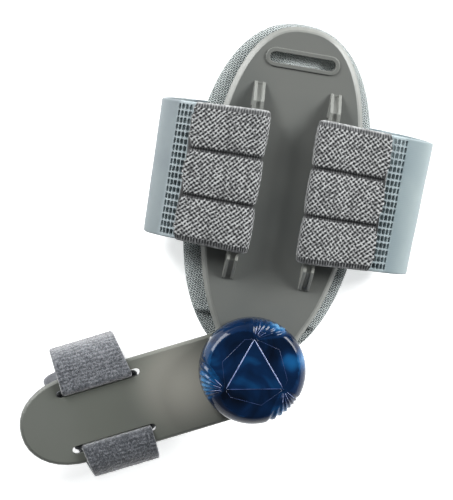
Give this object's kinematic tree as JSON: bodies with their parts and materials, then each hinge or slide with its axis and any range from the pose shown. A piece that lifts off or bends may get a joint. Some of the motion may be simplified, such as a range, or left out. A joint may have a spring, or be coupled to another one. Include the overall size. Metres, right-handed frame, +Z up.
{
  "type": "bunion corrector",
  "caption": "Hinged bunion corrector with a padded grey foot plate, ribbed elastic foot strap, toe arm with a brushed toe strap and a blue adjusting knob.",
  "frame": {"origin": "on the surface it lies on, in the middle of the flat underside of the foot strap, on the plate's centre line", "axes": "+Z up, out of the plate's outer face; +Y along the plate, from the knob to the spare strap slot; +X to the right as seen from above"},
  "size_m": [0.1146, 0.1515, 0.0328],
  "materials": {
    "moulded_grey": "satin moulded",
    "mesh_knit": "spacer mesh knit",
    "smooth_elastic": "smooth knitted elastic",
    "ribbed_elastic": "coarse woven elastic with padded ribs",
    "brushed_fabric": "brushed loop pile",
    "blue_gloss": "polished, marbled",
    "screw_steel": "turned"
  },
  "bodies": {
    "foot": {"foot_plate": "moulded_grey", "foot_pad": "mesh_knit", "strap_band": "smooth_elastic", "elastic_panel_left": "ribbed_elastic", "elastic_panel_right": "ribbed_elastic"},
    "arm": {"toe_arm": "moulded_grey", "toe_strap": "brushed_fabric"},
    "dial": {"knob": "blue_gloss", "pivot_screw": "screw_steel"}
  },
  "joints": [
    {"name": "arm_swing", "type": "hinge", "parent": "foot", "child": "arm", "pos_m": [0, -0.058, 0.0167], "axis": [0, 0, 1], "range_deg": [-10, 138]},
    {"name": "knob_turn", "type": "hinge", "parent": "foot", "child": "dial", "pos_m": [0, -0.058, 0.027], "axis": [0, 0, 1], "continuous": true}
  ]
}
